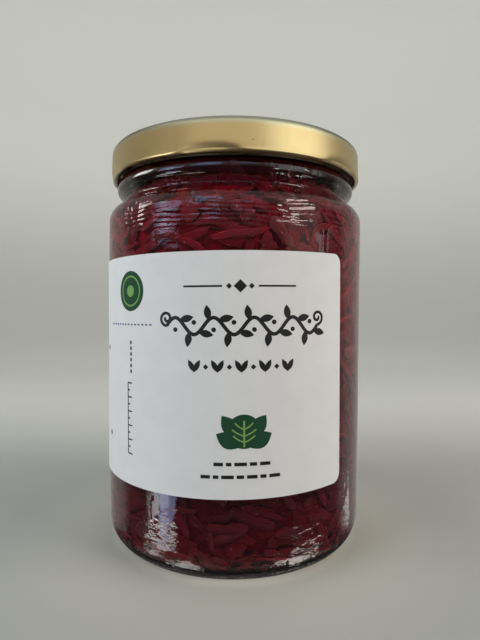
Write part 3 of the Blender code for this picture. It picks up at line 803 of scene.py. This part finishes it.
# The look of the lid: each layer's strength and colour over the gold, with radii and heights in metres
lidLook = dict(gold=(0.66, 0.49, 0.22), paler=(0.71, 0.535, 0.25), roughness=0.36, lacquer=0.5,
               lacquerRough=0.25, corner=(0.0392, 0.0403),
               nickPlace=(0.0048, -0.0421, 0.1226), nickSize=(0.00040, 0.00015),
               inner=(0.04185, 0.04145), insideShadeTop=(0.1272, 0.1262), reflectionBandRise=(0.1266, 0.1274),
               shadeLineRise=(0.1275, 0.1286),
               layers=dict(marks=(0.25, (0.52, 0.41, 0.22)), nick=(0.6, (0.16, 0.11, 0.05)),
                           # inside is painted shade under the lid, band a painted reflection of the ceiling,
                           # edge a painted dark line of shade
                           inside=(1.0, (0.06, 0.036, 0.028)), band=(0.6, (0.60, 0.60, 0.40)),
                           edge=(0.85, (0.12, 0.10, 0.055))))


# Clouded gold with handling marks and one nick, painted shade inside, and where it bends to the top a painted
# pale band of reflection and then a painted dark line of shade
def lidFinish():
    look = lidLook
    mat = Finish("goldLacquer")
    place = mat.place()
    high = mat.axis(place, "Z")
    across = mat.length(mat.stretched(place, (1, 1, 0)))
    away = mat.add("VectorMath", {0: place, 1: look["nickPlace"]}, operation="DISTANCE").outputs["Value"]
    corner = mat.between(across, *look["corner"])
    # the inside, band and edge masks place the painted shade inside, the painted reflection band and the
    # painted dark line of shade
    masks = dict(marks=mat.marked(place, 90.0), nick=mat.between(away, *look["nickSize"]),
                 inside=mat.times(mat.between(across, *look["inner"]),
                                  mat.between(high, *look["insideShadeTop"])),
                 band=mat.times(corner, mat.between(high, *look["reflectionBandRise"])),
                 edge=mat.times(corner, mat.between(high, *look["shadeLineRise"])))
    cloud = mat.between(mat.noise(place, 45.0), 0.3, 0.7)
    colour = mat.mix(cloud, look["gold"], look["paler"])
    for key, (strength, tint) in look["layers"].items():
        colour = mat.mix(mat.times(masks[key], strength), colour, tint)
    rough = mat.plus(look["roughness"], mat.times(masks["marks"], 0.10))
    mat.feed(mat.shader, {"Base Color": colour, "Metallic": 1.0, "Roughness": rough,
                          "Coat Weight": look["lacquer"], "Coat Roughness": look["lacquerRough"],
                          "Normal": mat.bumped(mat.grained(place, 1500.0, 0.25), 0.08, 0.0002)})
    return mat.material


sealLook = dict(dark=(0.72, 0.68, 0.58), bright=(0.80, 0.77, 0.68), roughness=0.55)


def sealFinish():
    mat = Finish("sealCream")
    height = mat.grained(mat.place(), 700.0, 0.3)
    colour = mat.mix(height, sealLook["dark"], sealLook["bright"])
    mat.feed(mat.shader, {"Base Color": colour, "Roughness": sealLook["roughness"],
                          "Normal": mat.bumped(height, 0.2, 0.0003)})
    return mat.material


lidLine = thinned(softened(lidOutline(), lid["soft"], 0.05), 8.0, 1.2)
cap = turnedPiece("goldLid", lidLine, lid["sides"], lugRelief)
cap.data.materials.append(lidFinish())
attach(cap, "root")
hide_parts("lid")
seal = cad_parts["lid_seal"]
seal.data.materials.clear()
seal.data.materials.append(sealFinish())
print("lid made")


# The label, in millimetres and radians: a sheet with round corners, wrapped round the glass a little askew
sheet = dict(length=99.1, height=67.7, corner=3.0, thickness=0.12, gap=0.03, middleHeight=58.7,
             middleAngle=math.radians(-19.3), tilt=math.radians(0.68))


# Flat label places (along, up) with a height off the paper's face, tilted and wrapped onto the glass
def onLabel(along, up, off):
    x = along * math.cos(sheet["tilt"]) - up * math.sin(sheet["tilt"])
    y = along * math.sin(sheet["tilt"]) + up * math.cos(sheet["tilt"])
    radius = jar["bodyRadius"] + sheet["gap"] + sheet["thickness"] + off
    turn = sheet["middleAngle"] + x / jar["bodyRadius"]
    return np.stack([radius * np.sin(turn), -radius * np.cos(turn), sheet["middleHeight"] + y], -1)


# A thin closed plate: a grid of places, once at its upper and once at its lower face, joined round the edge
def plate(along, up, bottom, top):
    rows, columns = along.shape
    points = np.concatenate([onLabel(along, up, off).reshape(-1, 3) for off in (bottom, top)])
    index = np.arange(rows * columns).reshape(rows, columns)
    count = rows * columns
    face = np.stack([index[:-1, :-1], index[:-1, 1:], index[1:, 1:], index[1:, :-1]], -1).reshape(-1, 4)
    rim = np.concatenate([index[0, :-1], index[:-1, -1], index[-1, :0:-1], index[:0:-1, 0]])
    after = np.roll(rim, -1)
    walls = np.stack([rim, after, after + count, rim + count], 1)
    quads = np.concatenate([face[:, ::-1], face + count, walls])
    return points, facingOut(points, quads)


def joinPlates(name, plates, sharpAngle=40):
    starts = np.cumsum([0] + [len(points) for points, _ in plates])
    points = np.concatenate([points for points, _ in plates])
    quads = np.concatenate([quads + start for (_, quads), start in zip(plates, starts)])
    return addMesh(name, points, quads, (), sharpAngle)


# A rectangle with round corners as a grid: near its ends the corner's arc shortens each column
def roundedGrid(length, height, corner, columns, rows, cornerSteps=8):
    straight = np.linspace(-(length / 2 - corner), length / 2 - corner, columns)
    turn = np.linspace(0, math.pi / 2, cornerSteps, endpoint=False)
    left = -(length / 2 - corner) - corner * np.cos(turn)
    along = np.concatenate([left, straight, -left[::-1]])
    past = np.clip(np.abs(along) - (length / 2 - corner), 0, corner)
    half = height / 2 - corner + np.sqrt(np.maximum(corner ** 2 - past ** 2, 0))
    up = np.linspace(-1, 1, rows)[:, None] * np.maximum(half, 0.02)[None, :]
    return np.broadcast_to(along, up.shape), up


def makeLabel():
    along, up = roundedGrid(sheet["length"], sheet["height"], sheet["corner"], 70, 40)
    return joinPlates("paperLabel", [plate(along, up, -sheet["thickness"], 0.0)])


paperLook = dict(dark=(0.83, 0.83, 0.85), bright=(0.86, 0.86, 0.88), roughness=0.62, grain=0.12)


# Paper: a faint cloud of two whites, fine grain and long soft wrinkles
def labelFinish():
    mat = Finish("whitePaper")
    place = mat.place()
    cloud = mat.between(mat.noise(place, 160.0, 3.0), 0.3, 0.7)
    colour = mat.mix(cloud, paperLook["dark"], paperLook["bright"])
    height = mat.times(mat.grained(place, 3200.0, 0.35), paperLook["grain"])
    height = mat.plus(height, mat.spots(place, (60, 60, 35)))
    mat.feed(mat.shader, {"Base Color": colour, "Roughness": paperLook["roughness"],
                          "Normal": mat.bumped(height, 0.25, 0.0003)})
    return mat.material


paper = makeLabel()
paper.data.materials.append(labelFinish())
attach(paper, "root")
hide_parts("label")
print("label made")


# The print, in label millimetres from its middle: along to the right, up; drawn with strokes and small shapes
inkColours = {"inkBlack": (0.007, 0.007, 0.007), "inkGreen": (0.008, 0.060, 0.026),
              "inkPale": (0.22, 0.42, 0.12), "inkBlue": (0.05, 0.075, 0.26)}
printed = {name: [] for name in inkColours}
inkDepth = 0.03


def stroke(ink, along, up, width, layer=1):
    along, up = np.broadcast_arrays(np.asarray(along, float), np.asarray(up, float))
    step = np.stack([np.gradient(along), np.gradient(up)])
    normal = np.stack([-step[1], step[0]]) / np.hypot(*step) * width / 2
    side = np.array([-1.0, 1.0])[:, None]
    printed[ink].append(plate(along + side * normal[0], up + side * normal[1], -inkDepth, inkDepth * layer))


def rule(ink, start, end, width, layer=1):
    share = np.linspace(0, 1, 2 + int(math.hypot(end[0] - start[0], end[1] - start[1])))
    stroke(ink, start[0] + share * (end[0] - start[0]), start[1] + share * (end[1] - start[1]), width, layer)


# A filled shape: its half width at each share t of its length is (1 - |t| to a power) to another power
def shapeAt(ink, along, up, length, width, angle=0.0, inner=2.0, outer=0.5, layer=1, rows=9):
    share = np.sin(np.linspace(-math.pi / 2, math.pi / 2, 25))
    half = np.maximum(width / 2 * (1 - np.abs(share) ** inner) ** outer, 0.01)
    x = np.broadcast_to(length / 2 * share, (rows, 25))
    y = np.linspace(-1, 1, rows)[:, None] * half
    turn = math.radians(angle)
    printed[ink].append(plate(along + x * math.cos(turn) - y * math.sin(turn),
                              up + x * math.sin(turn) + y * math.cos(turn), -inkDepth, inkDepth * layer))


def leafAt(ink, along, up, length, width, angle, layer=1):
    shapeAt(ink, along, up, length, width, angle, 2.0, 1.1, layer)


def dotAt(ink, along, up, size, layer=1):
    shapeAt(ink, along, up, size, size, 0.0, 2.0, 0.5, layer)


def diamondAt(ink, along, up, length, width):
    shapeAt(ink, along, up, length, width, 0.0, 1.0, 1.0)


# The print's parts: places and sizes in label millimetres, angles in degrees
motif = dict(
    vine=dict(start=-4.6, end=39.4, up=13.5, swing=2.3, waves=4, stem=1.0, leaf=(4.3, 2.0), lean=55,
              reach=2.0, berry=1.3, curl=2.1, curlTurns=1.35, curlStroke=0.8),
    rules=dict(up=24.3, spans=((0.7, 11.5), (21.4, 32.2)), width=0.5),
    diamonds=((13.4, 1.6), (16.45, 3.6), (19.5, 1.6)),
    row=dict(start=3.6, step=3.25, count=9, up=2.4, leaf=(3.9, 1.5), lean=28, apart=0.75, diamond=1.5),
    emblem=dict(along=17.2, up=-15.4, low=(4.3, -2.2, 7.6, 4.6, 62), high=(3.9, 1.6, 7.4, 4.2, 36), heart=9.4,
                veins=((-2.6, 3.0), (-0.9, 3.3), (0.9, 2.5)), vein=0.38, stalk=0.5),
    bars=dict(lines=((8.8, 25.4, -24.1), (5.2, 28.6, -27.6)), width=0.95, gap=0.8,
              steps=(2.6, 1.5, 3.4, 2.0, 2.9, 1.7, 3.1, 2.3, 1.9)),
    badge=dict(along=-18.9, up=23.5, size=11.8, ring=4.3, ringWidth=0.45, middle=3.4),
    dashes=(("inkBlue", 14, (-31.8, 13.7), (1.62, 0.0), (0.8, 0.0), 0.45),
            ("inkBlack", 6, (-18.9, 8.9), (0.0, -1.7), (0.0, -1.0), 0.75),
            ("inkBlack", 1, (-20.6, -3.6), (0.0, 0.0), (0.0, -21.0), 0.4),
            ("inkBlack", 6, (-20.6, -3.6), (0.0, -4.2), (2.0, 0.0), 0.4),
            ("inkBlack", 5, (-20.6, -5.7), (0.0, -4.2), (1.0, 0.0), 0.4)),
    specks=((-37.0, 6.0), (-33.9, -21.0)), speck=2.0)


# The wide band: a stem, middle + swing times the sine of its way along, with a leaf on each flank, berries in
# the bends and a curl at each end
def printVine():
    vine = motif["vine"]
    start, middle, swing, waves = (vine[key] for key in ("start", "up", "swing", "waves"))
    length = vine["end"] - start
    share = np.linspace(0, 1, 161)
    up = middle + swing * np.sin(2 * math.pi * waves * share)
    stroke("inkBlack", start + share * length, up, vine["stem"])
    for k in range(1, 4 * waves):                 # the first flank's place is taken up by the curl
        phase = 2 * math.pi * waves * (k + 0.5) / (4 * waves)
        x, y = start + (k + 0.5) / (4 * waves) * length, middle + swing * math.sin(phase)
        lean = math.degrees(math.atan2(swing * 2 * math.pi * waves * math.cos(phase), length))
        lean += vine["lean"] if k % 4 < 2 else -vine["lean"]
        turn = math.radians(lean)
        leafAt("inkBlack", x + vine["reach"] * math.cos(turn), y + vine["reach"] * math.sin(turn),
               *vine["leaf"], lean)
    for k in range(2 * waves):
        side = 1 if k % 2 == 0 else -1
        dotAt("inkBlack", start + (k + 0.5) / (2 * waves) * length, middle - side, vine["berry"])
    for x, side in ((start, -1), (vine["end"], 1)):
        turn = np.linspace(0, vine["curlTurns"] * 2 * math.pi, 60)
        reach = vine["curl"] * (1 - turn / (1.6 * 2 * math.pi))
        stroke("inkBlack", x + side * (reach * np.sin(turn)), middle + vine["curl"] - reach * np.cos(turn),
               vine["curlStroke"])


# The rules with their diamonds, and the row of small leaves in pairs with diamonds between
def printRows():
    rules, row = motif["rules"], motif["row"]
    for low, high in rules["spans"]:
        rule("inkBlack", (low, rules["up"]), (high, rules["up"]), rules["width"])
    for x, size in motif["diamonds"]:
        diamondAt("inkBlack", x, rules["up"], size, size)
    for k in range(row["count"]):
        x = row["start"] + k * row["step"]
        if k % 2:
            diamondAt("inkBlack", x, row["up"], row["diamond"], row["diamond"])
        else:
            for side in (-1, 1):
                leafAt("inkBlack", x + side * row["apart"], row["up"] + 0.2, *row["leaf"],
                       90 - side * row["lean"])


# The emblem: two pairs of green lobes round a disc, with pale veins, over two broken bars
def printEmblem():
    emblem, bars = motif["emblem"], motif["bars"]
    middle, up = emblem["along"], emblem["up"]
    for side in (-1, 1):
        for aside, rise, length, width, lean in (emblem["low"], emblem["high"]):
            leafAt("inkGreen", middle + side * aside, up + rise, length, width, 90 - side * lean)
    dotAt("inkGreen", middle, up + 0.2, emblem["heart"])
    rule("inkPale", (middle, up - 4.0), (middle, up + 3.2), emblem["stalk"], 2)
    share = np.linspace(0, 1, 9)
    for side in (-1, 1):
        for rise, reach in emblem["veins"]:
            rising = up + rise + 1.7 * share ** 1.6
            stroke("inkPale", middle + side * reach * share, rising, emblem["vein"], 2)
    for low, high, y in bars["lines"]:
        x = low
        for step in bars["steps"]:
            if x + step > high + 0.3:
                break
            rule("inkBlack", (x, y), (min(x + step, high), y), bars["width"])
            x += step + bars["gap"]


# The narrow end: a round mark, two specks, and rows of dashes: how many, where the first starts, the step to
# the next, its reach and its width; the last three rows make the ruled scale
def printSide():
    badge = motif["badge"]
    along, up, ring = badge["along"], badge["up"], badge["ring"]
    turn = np.linspace(0, 2 * math.pi, 53)
    dotAt("inkGreen", along, up, badge["size"])
    stroke("inkPale", along + ring * np.cos(turn), up + ring * np.sin(turn), badge["ringWidth"], 2)
    dotAt("inkPale", along, up, badge["middle"], 2)
    for ink, count, (x, y), (stepX, stepY), (reachX, reachY), width in motif["dashes"]:
        for k in range(count):
            start = (x + k * stepX, y + k * stepY)
            rule(ink, start, (start[0] + reachX, start[1] + reachY), width)
    for x, y in motif["specks"]:
        diamondAt("inkBlack", x, y, motif["speck"], motif["speck"])


# Ink worn a little grey in fine speckles
def inkFinish(name, colour):
    mat = Finish(name)
    speckle = mat.between(mat.noise(mat.place(), 2600.0, 2.0, 0.6), 0.3, 0.75)
    worn = tuple(0.88 * c + 0.012 for c in colour)
    mat.feed(mat.shader, {"Base Color": mat.mix(speckle, colour, worn), "Roughness": 0.5,
                          "Specular IOR Level": 0.3})
    return mat.material


for printPart in (printVine, printRows, printEmblem, printSide):
    printPart()
for name, plates in printed.items():
    ink = joinPlates(name, plates)
    ink.data.materials.append(inkFinish(name, inkColours[name]))
    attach(ink, "root")
print("label printed")


# The floor and the walls round it: one pale surface sweeping up far from the jar. Sizes are in millimetres,
# the limits between its tints in metres: up the walls, painted shade in front of the jar, painted light and
# shade near it, a painted light ring at its foot, a painted shadow under it
stage = dict(flat=900.0, sweep=600.0, wall=1700.0, sides=96,
             low=(0.51, 0.515, 0.485), high=(0.80, 0.81, 0.76), highAbove=(0.02, 0.60),
             front=(0.30, 0.305, 0.29), frontShadeFrom=(0.25, -0.03),
             near=(0.39, 0.385, 0.35), nearLightAndShadeFrom=(0.085, 0.044),
             lit=(0.49, 0.48, 0.43), paintedLightRadii=(0.0375, 0.0385, 0.0400, 0.0440),
             paintedShadow=(0.06, 0.05, 0.05), paintedShadowRadii=(0.0380, 0.0360))


# The line of the floor, its bend and the wall, carried round the axis
def makeStage():
    bend = stage["sweep"]
    curve = arc(stage["flat"], bend, bend, bend, -90, 0, 24)
    line = np.concatenate([[[0, 0], [80, 0], [300, 0]], curve, [[stage["flat"] + bend, stage["wall"]]]])
    sides = stage["sides"]
    angle = np.linspace(0, 2 * math.pi, sides, endpoint=False)[None, :]
    points = np.stack([line[:, :1] * np.cos(angle), line[:, :1] * np.sin(angle), line[:, 1:] + 0 * angle], -1)
    return addMesh("studioFloor", points, ringWalls(len(line), sides)[..., [0, 3, 2, 1]])


# Painted light and shade on the floor: shade in front of the jar, lighter than the front and darker than the
# back near it, a light ring at its foot and a dark shadow under it
def stageFinish():
    mat = Finish("studioFloor")
    place = mat.place()
    away = mat.length(place)
    masks = dict(high=mat.between(mat.axis(place, "Z"), *stage["highAbove"]),
                 front=mat.between(mat.axis(place, "Y"), *stage["frontShadeFrom"]),
                 near=mat.between(away, *stage["nearLightAndShadeFrom"]), lit=mat.band(away, *stage["paintedLightRadii"]),
                 paintedShadow=mat.between(away, *stage["paintedShadowRadii"]))
    colour = stage["low"]
    for key, mask in masks.items():
        colour = mat.mix(mask, colour, stage[key])
    mat.feed(mat.shader, {"Base Color": colour, "Roughness": 0.8,
                          "Normal": mat.bumped(mat.grained(place, 1800.0, 0.2), 0.1, 0.0003)})
    return mat.material


floor = makeStage()
floor.data.materials.append(stageFinish())
floor.visible_glossy = False     # reflections show the room below instead of the bare sweep


# Lamps: azimuth in degrees from the front towards the right, height and distance in metres, size, watts,
# colour, and the point that each is aimed at
lamps = {
    "rightWindow": dict(azimuth=66, height=0.50, away=0.55, size=(0.36, 0.5), power=3.3,
                        colour=(1.0, 0.93, 0.84)),
    "leftWindow": dict(azimuth=-62, height=0.50, away=0.55, size=(0.40, 0.5), power=3.1,
                       colour=(0.92, 0.97, 1.0)),
    "frontFill": dict(azimuth=4, height=0.55, away=0.42, size=(0.6, 0.5), power=0.20,
                      colour=(0.95, 0.98, 1.0)),
    "backWash": dict(azimuth=175, height=1.10, away=0.45, size=(1.2, 0.8), power=2.6,
                     colour=(1.0, 1.0, 0.97)),
    "wallWash": dict(azimuth=180, height=0.90, away=0.10, size=(1.6, 0.4), power=8.7,
                     colour=(1.0, 1.0, 1.0), aim=(0.0, 1.5, 1.4)),
}


def addLamp(name, azimuth, height, away, size, power, colour, aim=(0.0, 0.0, 0.06)):
    turn = math.radians(azimuth)
    data = bpy.data.lights.new(name, "AREA")
    data.shape, data.size, data.size_y = "RECTANGLE", *size
    data.energy, data.color = power, colour
    lamp = bpy.data.objects.new(name, data)
    bpy.context.scene.collection.objects.link(lamp)
    lamp.location = (away * math.sin(turn), -away * math.cos(turn), height)
    lamp.rotation_mode = "QUATERNION"
    lamp.rotation_quaternion = (Vector(aim) - lamp.location).to_track_quat("-Z", "Y")
    lamp.visible_camera = lamp.visible_glossy = lamp.visible_transmission = False


for name, values in lamps.items():
    addLamp(name, **values)


# What shines in glass and lacquer: a dim room in front with windows, a ceiling panel, and the pale surface
# behind. Each patch of the sky round the jar is its azimuths and elevations in degrees, how soft its edge is,
# and its light. Clear glass shows the windows sharp; the lid and the paper, being dull, show the dimmer glows
windows = [
    ((44, 76), (-8, 50), 4.0, (0.7, 0.64, 0.58)),
    ((49, 73), (18, 34), 1.5, (9.0, 7.9, 7.2)),
    ((50, 84), (-33, -30), 1.0, (7.0, 6.6, 6.0)),
    ((46, 88), (-58, -41), 2.0, (5.5, 5.2, 4.8)),
    ((-74, -49), (8, 30), 2.0, (1.6, 1.9, 3.0)),
    ((-66, -57), (11, 22), 1.5, (4.2, 4.6, 5.6)),
    ((-68, -52), (-24, -14), 1.0, (1.7, 2.2, 3.8)),
    ((-66, -58), (-23, -16), 1.5, (4.4, 4.9, 6.6)),
    ((-80, -50), (-29, -25), 1.0, (9.0, 8.6, 8.0)),
    ((-92, -74), (-46, -36), 2.0, (3.2, 3.2, 3.1)),
    ((-84, -46), (-66, -52), 2.0, (3.6, 3.6, 3.4)),
    ((-110, -86), (14, 34), 2.0, (8.0, 7.8, 7.4)),
    ((-42, -14), (22, 48), 2.0, (1.3, 1.75, 2.9)),
    ((-2, 24), (30, 46), 2.0, (0.8, 0.85, 1.3)),
    ((34, 56), (-9, 0), 1.0, (8.0, 7.5, 7.0)),
    ((114, 126), (-24, -20), 1.5, (2.2, 2.2, 2.1)),
]
glows = [
    ((-42, 28), (2, 52), 10.0, (0.68, 0.65, 0.60)),
    ((31, 86), (-6, 50), 8.0, (1.60, 1.65, 1.62)),
    ((-76, -48), (-36, -4), 6.0, (4.6, 4.7, 4.75)),
]
ceiling = dict(across=(-0.9, 0.9), along=(-0.9, 0.55), soft=0.2, light=(1.05, 1.16, 1.25), sharp=0.06)
room = dict(low=(0.06, 0.06, 0.065), high=(0.40, 0.38, 0.36), behind=(0.42, 0.42, 0.38),
            above=(0.30, 0.30, 0.27), under=(0.05, 0.045, 0.045), ambient=(0.80, 0.81, 0.81), strength=0.35,
            frontRise=(6, 22), underRise=(-31, -23), aboveRise=(14, 26), backFrom=(0.16, 0.42))


# The sky is painted from soft-edged patches, told by a ray's azimuth, its elevation, and where it would
# meet a ceiling
class Sky(Finish):
    def __init__(self, world):
        self.tree = world.node_tree
        self.tree.nodes.clear()
        self.axes = self.add("SeparateXYZ", {0: self.add("TexCoord").outputs["Generated"]}).outputs
        ahead = self.times(self.axes["Y"], -1.0)
        self.azimuth = self.degrees(self.math("ARCTAN2", self.axes["X"], ahead))
        self.elevation = self.degrees(self.math("ARCSINE", self.axes["Z"]))

    def degrees(self, angle):
        return self.times(angle, 180 / math.pi)

    def within(self, value, limits, soft):
        low, high = limits
        return self.band(value, low - soft, low + soft, high - soft, high + soft)

    def patches(self, light, places):
        for azimuths, elevations, soft, shine in places:
            share = self.times(self.within(self.azimuth, azimuths, soft),
                               self.within(self.elevation, elevations, soft))
            light = self.mix(share, light, shine)
        return light

    def onCeiling(self, axis):
        return self.math("DIVIDE", self.axes[axis], self.math("MAXIMUM", self.axes["Z"], 0.05))


def makeRoom():
    world = bpy.data.worlds.new("room")
    bpy.context.scene.world = world
    world.use_nodes = True
    sky = Sky(world)
    paths = sky.add("LightPath").outputs
    front = sky.mix(sky.between(sky.elevation, *room["frontRise"]), room["low"], room["high"])
    behind = sky.mix(sky.between(sky.elevation, *room["underRise"]), room["under"], room["behind"])
    dull = sky.mix(sky.between(sky.elevation, *room["aboveRise"]), behind, room["above"])
    atBack = sky.between(sky.axes["Y"], *room["backFrom"])
    soft, sharp = (sky.mix(atBack, front, back) for back in (dull, behind))
    light = sky.mix(paths["Is Singular Ray"], sky.patches(soft, glows), sky.patches(sharp, windows))
    share = sky.times(sky.within(sky.onCeiling("X"), ceiling["across"], ceiling["soft"]),
                      sky.within(sky.onCeiling("Y"), ceiling["along"], ceiling["soft"]))
    share = sky.times(share, sky.between(paths["Is Singular Ray"], 0.0, 1.0, 1.0, ceiling["sharp"]))
    light = sky.mix(share, light, ceiling["light"])
    shiny = sky.add("Background", {"Color": light, "Strength": 1.0}).outputs[0]
    plain = sky.add("Background", {"Color": (*room["ambient"], 1), "Strength": room["strength"]}).outputs[0]
    both = sky.add("MixShader", {0: paths["Is Glossy Ray"], 1: plain, 2: shiny}).outputs[0]
    sky.add("OutputWorld", {"Surface": both})


makeRoom()
print("stage and lights made")


# The camera, where the photograph was taken: millimetres and degrees
view = dict(away=172.65, height=77.74, down=1.66, right=0.64, roll=0.31, lens=27.0, film=36.0,
            clip=(0.01, 10.0))


def makeCamera():
    pitch, yaw, roll = (math.radians(view[key]) for key in ("down", "right", "roll"))
    ahead = np.array([math.sin(yaw) * math.cos(pitch), math.cos(yaw) * math.cos(pitch), -math.sin(pitch)])
    level = np.array([math.cos(yaw), -math.sin(yaw), 0.0])
    upright = np.cross(level, ahead)
    across = math.cos(roll) * level + math.sin(roll) * upright
    up = math.cos(roll) * upright - math.sin(roll) * level
    data = bpy.data.cameras.new("camera")
    data.lens, data.sensor_width = view["lens"], view["film"]
    data.clip_start, data.clip_end = view["clip"]
    camera = bpy.data.objects.new("camera", data)
    bpy.context.scene.collection.objects.link(camera)
    standing = np.stack([across, up, -ahead, [0, -view["away"] * mm, view["height"] * mm]], 1)
    camera.matrix_world = Matrix(np.concatenate([standing, [[0, 0, 0, 1]]]))
    bpy.context.scene.camera = camera


makeCamera()
bpy.context.scene.view_settings.view_transform = "Standard"
